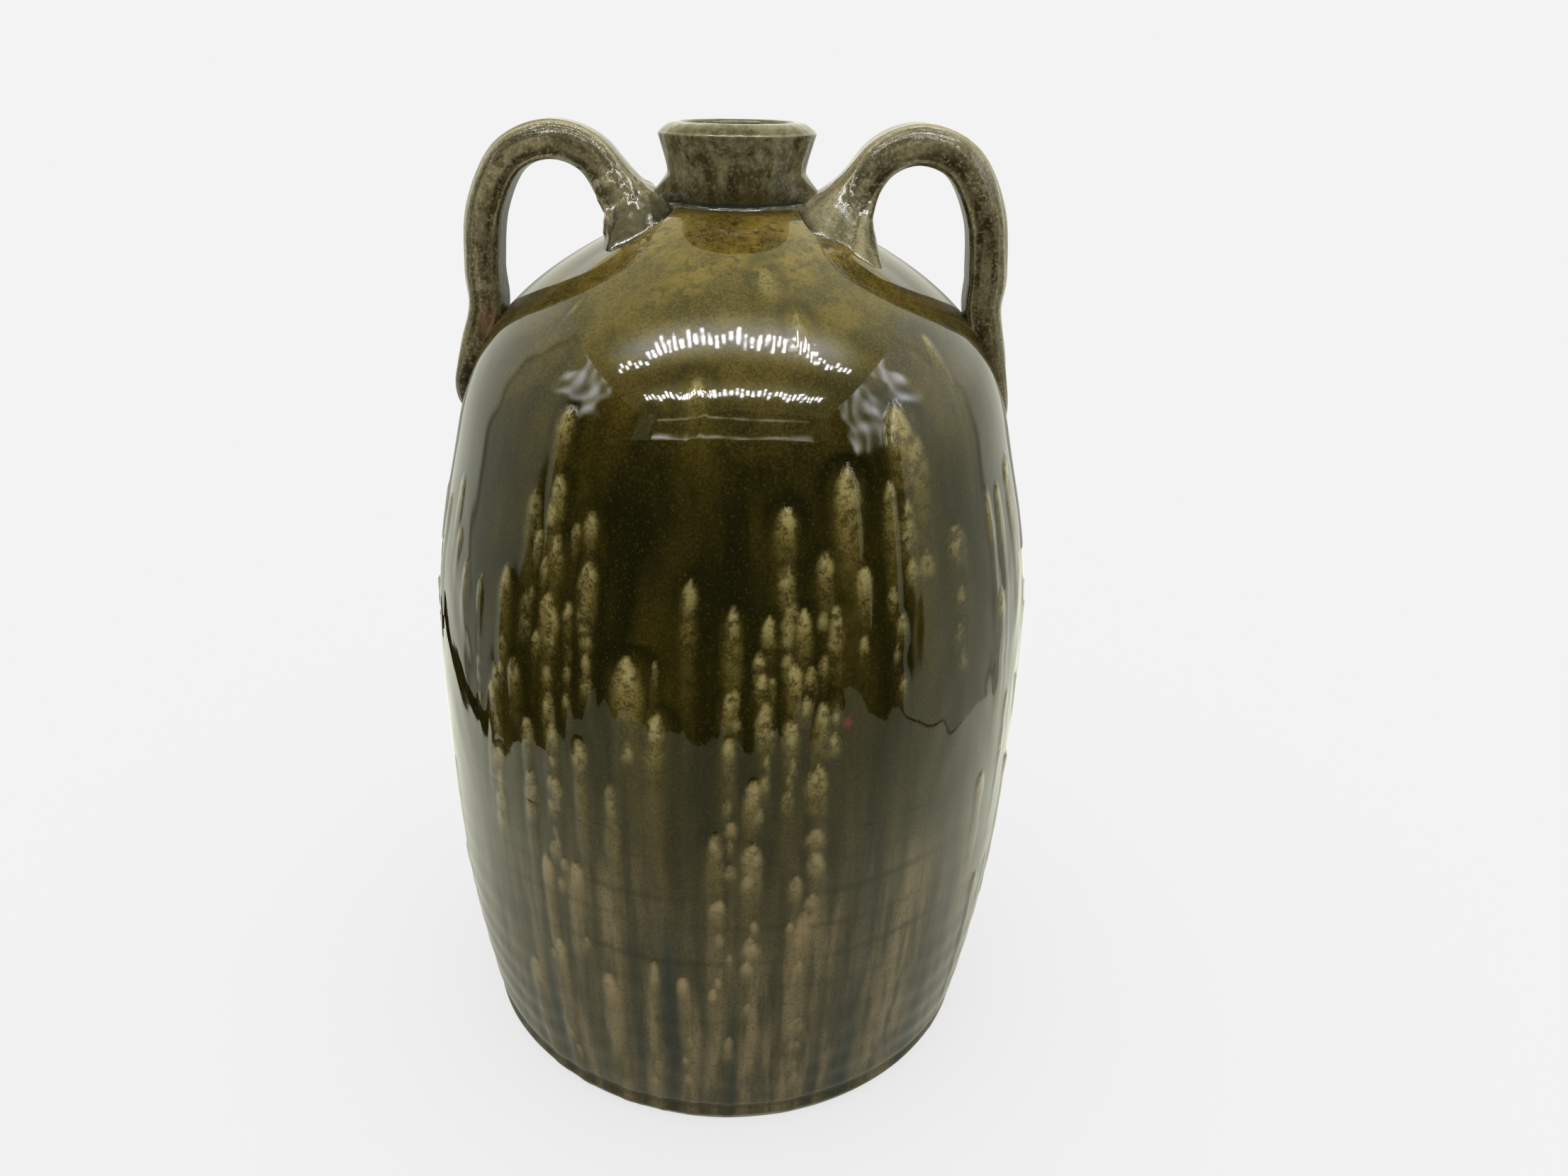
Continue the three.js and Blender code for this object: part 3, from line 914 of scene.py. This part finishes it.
def catmullRom(points, count):
    points = np.array(points, float)
    points = np.vstack([2 * points[0] - points[1], points, 2 * points[-1] - points[-2]])
    t = np.linspace(0, len(points) - 3 - 1e-6, count * 6)
    i = t.astype(int)
    f = (t - i)[:, None]
    a, b, c, d = (points[i + k] for k in range(4))
    line = 0.5 * (2 * b + (c - a) * f + (2 * a - 5 * b + 4 * c - d) * f**2 + (3 * b - a - 3 * c + d) * f**3)
    run = np.concatenate([[0], np.cumsum(np.linalg.norm(np.diff(line, axis=0), axis=1))])
    even = np.linspace(0, run[-1], count)
    return np.stack([np.interp(even, run, line[:, k]) for k in range(2)], 1), even


def strapLine(own):
    thick = strap["thick"]
    root, reach, rise = own["root"], own["reach"], own["rise"]
    top = jug["seatHeight"] + rise
    landing = float(shoulderHeight(reach))
    tailEnd = jug["seatHeight"] - strap["tailDrop"]
    tailMiddle = (landing + tailEnd) / 2
    return catmullRom([
        (root, shoulderHeight(root) - 1.5),
        (root + thick * 0.36, top - rise * 0.84),
        (root + thick * 1.08, top - rise * 0.21),
        (root * 0.47 + reach * 0.53, top),
        (reach - thick * 0.8, top - rise * 0.28),
        (reach - thick * 0.17, top - rise * 1.04),
        (reach, top - rise * 1.95),
        (reach, landing + thick * 0.6),
        (wallRadius(tailMiddle) + 0.7 + own["tailLift"] * 0.5, tailMiddle),
        (wallRadius(tailEnd) - 1.2, tailEnd),
    ], strap["along"])


def strapMesh(name, grid):
    rows, columns = grid.shape[:2]
    index = np.arange(rows * columns).reshape(rows, columns)
    beside = np.roll(index, -1, axis=1)
    quads = np.stack([index[:-1], beside[:-1], beside[1:], index[1:]], 2).reshape(-1, 4)
    faces = quads.tolist() + [index[0, ::-1].tolist(), index[-1].tolist()]
    mesh = bpy.data.meshes.new(name)
    mesh.from_pydata((grid.reshape(-1, 3) * mm).tolist(), [], faces)
    shape = bmesh.new()
    shape.from_mesh(mesh)
    bmesh.ops.recalc_face_normals(shape, faces=shape.faces)
    shape.to_mesh(mesh)
    shape.free()
    return mesh


def press(run, place):
    middle, half, depth = place
    return depth * bell(run, middle, half)


def pullHandle(name, own):
    s, seed, wetness = strap, own["seed"], own["wet"]
    line, run = strapLine(own)
    outward = leftOf(line)
    run = run[:, None]
    share = run / run[-1]
    remaining = run[-1] - run
    halfThick = (s["thick"] + (s["tailThick"] - s["thick"]) * smoothstep(0.72, 1.0, share)) / 2
    halfWidth = (s["width"] + (s["tailWidth"] - s["width"]) * smoothstep(0.62, 0.82, share)) / 2
    toEnd = np.clip(remaining / s["tailRound"], 0.02, 1)
    closing = np.sqrt(toEnd * (2 - toEnd))
    turn = np.linspace(-math.pi, math.pi, s["around"], endpoint=False)
    cosine, sine = np.cos(turn), np.sin(turn)
    power = np.where(cosine > 0, 2 / s["square"], 2 / s["gapSquare"])
    unitOut = np.sign(cosine) * np.abs(cosine) ** power
    unitSide = np.sign(sine) * np.abs(sine) ** power
    rng = np.random.default_rng(seed)
    knots = np.linspace(0, 1, 10)
    swell = 1 + np.interp(share, np.linspace(0, 1, 12), rng.uniform(-0.035, 0.035, 12))
    ridge = np.zeros((len(run), len(turn)))
    for middle, height, spread in s["ridges"]:
        centre = math.radians(middle) + np.interp(share, knots, rng.uniform(-0.16, 0.16, 10))
        tall = height * np.interp(share, knots, rng.uniform(0.1, 1.35, 10))
        away = (turn - centre + math.pi) % math.tau - math.pi
        ridge += tall * bell(away, 0, math.radians(spread))
    flatRoot = np.clip(1 - run / s["rootLength"], 0, 1)
    lift = (ridge - 0.25) * (1 - 0.6 * flatRoot) * closing
    # Thumb mark where the strap was pressed on, a second press near the tail, and lumps at the root
    lift -= bell(turn, *s["thumbTurn"]) * (press(run, s["bulge"]) + press(run, s["thumb"])) * own["press"]
    lift -= press(remaining, s["tailPress"]) * bell(turn, 0, 0.55)
    lumps = np.sin(3 * turn + run / 3.7 + seed) * np.sin(run / 2.6 + 5 * turn)
    dents = np.sin(11 * turn + run / 1.3) * np.sin(7 * turn - run / 1.1 + seed)
    uneven = (0.3 + 0.8 * wetness) * lumps + (0.16 + 0.24 * wetness) * dents
    lift += uneven * np.clip(flatRoot * 2.5 - 0.6, 0, 1)
    # The foot of the strap spreads over the shoulder and up to the collar
    flareOut, flareSide, flareGap = s["rootFlare"]
    flare = np.clip(1 - np.clip(run - s["rootEdge"], 0, None) / s["rootLength"], 0, 1)
    spread = flare**2.7
    toeTurn, toeLength = own["toe"]
    toe = toeLength * bell(turn, math.radians(toeTurn), 0.33)
    pushOut = (np.where(cosine > 0, flareOut * flare**2, flareGap * spread) + toe * spread) * cosine
    ragged = 1 + 0.12 * np.sin(5 * turn + seed)
    pushSide = (flareSide * ragged + toe) * sine * spread
    out = halfThick * swell * closing * unitOut + lift * cosine + pushOut
    across = halfWidth * swell * closing * unitSide + lift * sine + pushSide
    radial = line[:, :1] + outward[:, :1] * out
    ground = shoulderHeight(np.hypot(radial, across)) + run - 1.2
    settle = flatRoot**1.4
    upward = (line[:, 1:] + outward[:, 1:] * out) * (1 - settle) + ground * settle
    mesh = strapMesh(name, np.stack([radial * own["side"], -across, upward], 2))
    # Pale on the pull ridges and on the root pad where the glaze breaks thin, with a painted highlight along
    # the outer face that is strongest where it faces up
    crestSheen = np.clip(cosine, 0, 1) * (0.6 + 0.6 * np.clip(outward[:, 1:], 0, 1))
    paint(mesh, "ridge", np.clip(ridge * 0.8 + crestSheen + 0.3 * smoothstep(0.15, 0.7, flatRoot), 0, 1))
    # Glaze has run down over the foot of one strap, and the wall's own glaze drowns both tails
    wet = wetness * fade(6, 14, run + 2.5 * np.sin(turn * 3 + 1))
    drowned = 0.8 * fade(3, 15, remaining + 3 * np.sin(4 * turn + seed))
    # Darker in the grooves where the glaze lies, and painted shade on the face towards the gap
    groove = np.clip(0.5 - ridge * 1.6, 0, 0.5) * (1 - flatRoot)
    pool = np.maximum(groove + 0.15 * np.clip(-cosine, 0, 1), 0.8 * wet)
    paint(mesh, "pool", np.maximum(pool, drowned))
    # Painted shade: a dark line where the strap meets the shoulder, all round on the wet root
    paint(mesh, "creaseGlazeAndShade", bell(run, 0, 2.5) * np.maximum(smoothstep(-0.2, 0.6, cosine), wetness))
    paint(mesh, "wet", np.maximum(0.6 * wet, drowned))
    paint(mesh, "stain", bell(share, *s["rustPlace"]) * bell(turn, *s["rustTurn"]) * own["rust"])
    paintFlow(mesh, np.stack(np.broadcast_arrays(cosine * 8, sine * 10, run * 0.08 + seed * 31), 2))
    return showPiece(name, mesh, "handle_glaze", (strapGlaze,), own["node"])


for handleName, handleOwn in handles.items():
    pullHandle(handleName, handleOwn)

# Camera: the photograph's own view, fitted to the outline

viewpoint = {
    "focal": 1661.0,  # px in a frame 2212 px wide
    "frameWidth": 2212.0,
    "sensor": 36.0,
    "middle": 1031.7,  # px, where the lens looks straight ahead
    "distance": 488.8,  # mm
    "height": 420.0,
    "pitch": 23.97,  # degrees down
    "roll": -0.73,
    "turn": 2.5,  # degrees round towards the right-hand handle
}


def setCamera():
    v = viewpoint
    data = bpy.data.cameras.new("camera")
    data.sensor_width = v["sensor"]
    data.lens = v["sensor"] * v["focal"] / v["frameWidth"]
    data.shift_x = 0.5 - v["middle"] / v["frameWidth"]
    data.clip_start, data.clip_end = 0.01, 50
    pitch, roll = math.radians(v["pitch"]), math.radians(v["roll"])
    stand = Matrix.Translation((0, -v["distance"] * mm, v["height"] * mm))
    look = Matrix.Rotation(math.pi / 2 - pitch, 4, "X") @ Matrix.Rotation(-roll, 4, "Z")
    camera = addObject("camera", data)
    camera.matrix_world = Matrix.Rotation(math.radians(v["turn"]), 4, "Z") @ stand @ look
    bpy.context.scene.camera = camera


setCamera()

# Studio: even pale light, and a light tent, open in front, that only the glossy glaze shows

studio = {
    "pale": "#f3f3f3",
    "shadow": 0.2,  # share of the floor's own shading that the camera sees
    "shadowReach": (0.2, 0.75),  # m from the axis, over which it fades
    "fill": 0.78,
    "softbox": 0.55,  # overhead lamp, as a share of plain light
    "softboxSize": 1.6,  # m
    "softboxPlace": (0, -0.15, 1.75),
    "softboxGain": 2.2,  # makes up for its distance
    "dark": 0.012,
    "tint": (0.98, 1.0, 0.84),  # sides, back and floor
    "lampTint": (1.0, 1.0, 0.62),  # ceiling and flap
    "lampColour": (1, 1, 1.3),
    "lampGlow": (0.9, 5.0),  # from cloth to bare lamp
    "floorTone": "#f9f9f9",
    "floorReach": 8,  # m
    "sheet": 1.0,
    "sheetNear": 0.42,  # share of that glow in front of the jug
    "sheetLeft": -385.0,  # mm, edges of the sheet that the jug stands on
    "sheetRight": 440.0,
    "sheetFront": -520.0,
}
tent = {
    "halfWidth": 430.0,
    "height": 720.0,
    "front": -520.0,
    "back": 560.0,
    "seam": 95.0,  # the sides are brighter behind this seam
    "rear": 1.13,
    "seamShade": 0.35,
    "ceilingGlow": 0.76,
    "backGlow": 0.43,
    "flapGlow": 0.14,
    "flapFoot": 533.0,
    "flapTop": 667,  # bright line near its upper edge
    "flapReach": 315,
    "panelFront": {-1: -165.0, 1: -250.0},
    "panelGlow": {-1: (0.66, 0.15), 1: (0.78, 0.6)},  # low on the side, and how much more high up
    # Lamp glare on the sides: front and back edge, foot
    "glare": {-1: [(-266, -75, 517)], 1: [(-418, -228, 430), (-139, -63, 490)]},
    # Lamp rows in the ceiling: depth, half-length, lamps, lamp length, brightness, how far the ends come
    # forward, haze
    "rows": [(-140.0, 345.0, 42, 80.0, 66.0, 45.0, 3.6), (-378.0, 325.0, 36, 60.0, 80.0, 0.0, 1.5)],
    "hem": 6,  # sides clear of the floor
    "step": 10.0,
    "seed": 4,
}


def paleFloor():
    # Pale sheet: plain to the eye but for a faint shadow, and a lit sheet where the glaze mirrors it
    s = studio
    material, tree = newMaterial("paleSheet")
    where = addNode(tree, "ShaderNodeTexCoord").outputs["Object"]
    place = addNode(tree, "ShaderNodeSeparateXYZ", {0: where}).outputs
    path = addNode(tree, "ShaderNodeLightPath").outputs
    sheet = addNode(tree, "ShaderNodeBsdfDiffuse", {"Color": srgb(s["floorTone"])}).outputs[0]
    plain = addNode(tree, "ShaderNodeEmission", {"Color": srgb(s["pale"])}).outputs[0]
    reach = addNode(tree, "ShaderNodeVectorMath", {0: where}, operation="LENGTH").outputs["Value"]
    clear = ramp(tree, reach, *s["shadowReach"], 1 - s["shadow"], interpolation_type="SMOOTHSTEP")
    lift = calc(tree, "MULTIPLY", path["Is Camera Ray"], clear)
    seen = addNode(tree, "ShaderNodeMixShader", {0: lift, 1: sheet, 2: plain}).outputs[0]
    glow = s["sheet"]
    for axis, edge, side in (
        ("Y", s["sheetFront"], "GREATER_THAN"),
        ("X", s["sheetLeft"], "GREATER_THAN"),
        ("X", s["sheetRight"], "LESS_THAN"),
    ):
        glow = calc(tree, "MULTIPLY", calc(tree, side, place[axis], edge * mm), glow)
    # Darker close to the foot, where the jug keeps the light off, and brighter to the sides
    aside = calc(tree, "ABSOLUTE", place["X"])
    for value, low, high, least in (
        (reach, 0.115, 0.28, 0.5),
        (place["Y"], -0.3, 0.02, s["sheetNear"]),
        (aside, 0.25, 0.05, 1.27),
    ):
        glow = calc(tree, "MULTIPLY", ramp(tree, value, low, high, least), glow)
    mirrored = addNode(tree, "ShaderNodeEmission", {"Strength": glow, "Color": (*s["tint"], 1)}).outputs[0]
    coatWith(tree, addNode(tree, "ShaderNodeMixShader", {0: path["Is Glossy Ray"], 1: seen, 2: mirrored}))
    material.cycles.emission_sampling = "NONE"
    mesh = bpy.data.meshes.new("floor")
    far = s["floorReach"]
    mesh.from_pydata([(-far, -far, 0), (far, -far, 0), (far, far, 0), (-far, far, 0)], [], [(0, 1, 2, 3)])
    mesh.materials.append(material)
    floor = addObject("floor", mesh)


def tentCloth(tint):
    # Lit white cloth: glows as strongly as painted on it
    material, tree = newMaterial("litCloth")
    glow = painted(tree, "glow")
    lamp = ramp(tree, glow, *studio["lampGlow"])
    colour = blend(tree, lamp, (*tint, 1), (*studio["lampColour"], 1))
    coatWith(tree, addNode(tree, "ShaderNodeEmission", {"Strength": glow, "Color": colour}))
    material.cycles.emission_sampling = "NONE"
    return material


def tentSheet(name, cloth, start, across, up, glowAt, step=tent["step"]):
    start, across, up = (np.array(v, float) for v in (start, across, up))
    columns = round(np.linalg.norm(across) / step) + 1
    rows = round(np.linalg.norm(up) / step) + 1
    u, v = np.meshgrid(np.linspace(0, 1, columns), np.linspace(0, 1, rows))
    corners = (start + u[..., None] * across + v[..., None] * up).reshape(-1, 3)
    index = np.arange(rows * columns).reshape(rows, columns)
    quads = np.stack([index[:-1, :-1], index[:-1, 1:], index[1:, 1:], index[1:, :-1]], 2).reshape(-1, 4)
    mesh = bpy.data.meshes.new(name)
    mesh.from_pydata((corners * mm).tolist(), [], quads.tolist())
    paint(mesh, "glow", glowAt(*corners.T))
    mesh.materials.append(cloth)
    sheet = addObject(name, mesh)
    sheet.rotation_euler.z = math.radians(viewpoint["turn"])
    sheet.visible_camera = False
    sheet.visible_diffuse = False
    sheet.visible_shadow = False


def lightTent():
    t = tent
    half, high, front, back = t["halfWidth"], t["height"], t["front"], t["back"]
    foot, hem = t["flapFoot"], t["hem"]
    rng = np.random.default_rng(t["seed"])
    cloth = tentCloth(studio["tint"])
    warm = tentCloth(studio["lampTint"])

    def ceilingGlow(x, y, z):
        glow = t["ceilingGlow"] + 0.3 * smoothstep(-20, 60, y)
        glow *= 0.45 + 0.55 * smoothstep(-270, -150, y)
        glow *= 1 + 0.3 * smoothstep(0, 160, x)
        for depth, _, _, length, _, _, haze in t["rows"]:
            near = bell(y, depth + length * 0.3, length * 0.8)
            glow += haze * near * fade(190, 400, np.abs(x))
        return glow

    def sideGlow(side):
        edge = t["panelFront"][side]

        def glowAt(x, y, z):
            wave = 9 * np.sin(z / 41 + side) + 6 * np.sin(z / 17)
            behind = smoothstep(t["seam"], t["seam"] + 26, y + wave)
            line = bell(y + wave, t["seam"], 12)
            taper = edge + (130 * fade(120, 290, z) if side < 0 else 0)
            panel = smoothstep(taper - 14, taper + 14, y + wave)
            low, more = t["panelGlow"][side]
            near = low + more * smoothstep(250, 450, z)
            glow = panel * (near + np.clip(t["rear"] - near, 0, 1) * behind - t["seamShade"] * line)
            crumple = 0.5 + 0.5 * np.sin(y / 17 + 2 * np.sin(z / 43)) * np.sin(z / 47 + 1.5 * np.sin(y / 37))
            ragged = wave + 14 * np.sin(z / 23 + y / 31) + 9 * np.sin(y / 11 + z / 53)
            for start, stop, low in t["glare"][side]:
                inside = smoothstep(start - 20, start + 20, y + ragged)
                inside *= fade(stop - 20, stop + 20, y + ragged)
                glow += inside * smoothstep(low - 35, low + 35, z + 2 * ragged) * (0.6 + 6 * crumple**1.5)
            return glow

        return glowAt

    def backGlow(x, y, z):
        return t["backGlow"] + 0.75 * smoothstep(300, 410, z) + 0.6 * smoothstep(560, 660, z)

    def flapGlow(x, y, z):
        lowEdge = bell(z + 5 * np.sin(x / 38), foot + 8, 8)
        topEdge = bell(z + 4 * np.sin(x / 57), t["flapTop"], 8)
        ends = bell(np.abs(x), 270, 50) * bell(z, foot + 18, 16)
        patchy = 0.68 + 0.32 * np.sin(x / 23 + 2 * np.sin(x / 71))
        beyond = 0.4 * fade(-340, -325, x)
        lit = (4.5 * lowEdge + 3.5 * topEdge) * patchy + 4 * ends * (0.4 + 0.6 * patchy)
        return t["flapGlow"] + beyond + (np.abs(x) < t["flapReach"]) * lit

    wide, deep, tall = (2 * half, 0, 0), (0, back - front, 0), (0, 0, high - hem)
    tentSheet("ceiling", warm, (-half, front, high), wide, deep, ceilingGlow)
    for side, name in ((-1, "leftSide"), (1, "rightSide")):
        tentSheet(name, cloth, (side * half, front, hem), deep, tall, sideGlow(side))
    tentSheet("backSide", cloth, (-half, back, hem), wide, tall, backGlow)
    tentSheet("frontFlap", warm, (-half, front, foot), wide, (0, 0, high - foot), flapGlow, t["step"] / 3)
    for depth, reach, count, length, level, forward, _ in t["rows"]:
        gap = 2 * reach / count
        bright = rng.uniform(0.1, 1.0, (count, 4))
        long = rng.uniform(0.25, 0.5, count) * length
        shift = rng.uniform(-0.2, 0.2, count) * length
        ends = smoothstep(0.55, 0.72, np.abs(np.linspace(-1, 1, count)))
        shift += forward * (0.3 - ends)
        long *= 1 - 0.6 * ends * (forward > 0)

        def rowGlow(x, y, z):
            lamp = np.clip(((x + reach) / gap).astype(int), 0, count - 1)
            aside = np.abs(x + reach - (lamp + 0.5) * gap) / gap
            along = (y - depth - shift[lamp]) / long[lamp]
            shape = fade(0.1, 0.3, aside) * fade(0.7, 1.0, np.abs(along))
            part = np.clip((along * 2 + 2).astype(int), 0, 3)
            return level * bright[lamp, part] * shape + ceilingGlow(x, y, z)

        start = (-reach, depth - length * 0.8, high - 4)
        tentSheet(f"lamps{-depth:.0f}", warm, start, (2 * reach, 0, 0), (0, length * 1.6, 0), rowGlow, 3)


def softbox():
    s = studio
    data = bpy.data.lights.new("softbox", "AREA")
    data.shape = "DISK"
    data.size = s["softboxSize"]
    data.energy = s["softbox"] * math.pi**2 * (s["softboxSize"] / 2) ** 2 * s["softboxGain"]
    lamp = addObject("softbox", data)
    lamp.location = s["softboxPlace"]
    lamp.visible_camera = False
    lamp.visible_glossy = False


def paleWorld():
    s = studio
    world = bpy.data.worlds.new("paleStudio")
    bpy.context.scene.world = world
    world.use_nodes = True
    tree = world.node_tree
    tree.nodes.clear()
    path = addNode(tree, "ShaderNodeLightPath").outputs
    share = s["fill"]
    for ray, level in (("Is Glossy Ray", s["dark"]), ("Is Camera Ray", srgb(s["pale"])[0])):
        share = addNode(tree, "ShaderNodeMix", {"Factor": path[ray], "A": share, "B": level}).outputs[0]
    glow = addNode(tree, "ShaderNodeBackground", {"Strength": share, "Color": (1, 1, 1, 1)})
    addNode(tree, "ShaderNodeOutputWorld", {"Surface": glow.outputs[0]})


paleFloor()
lightTent()
softbox()
paleWorld()
bpy.context.scene.view_settings.view_transform = "Standard"
print("studio set")
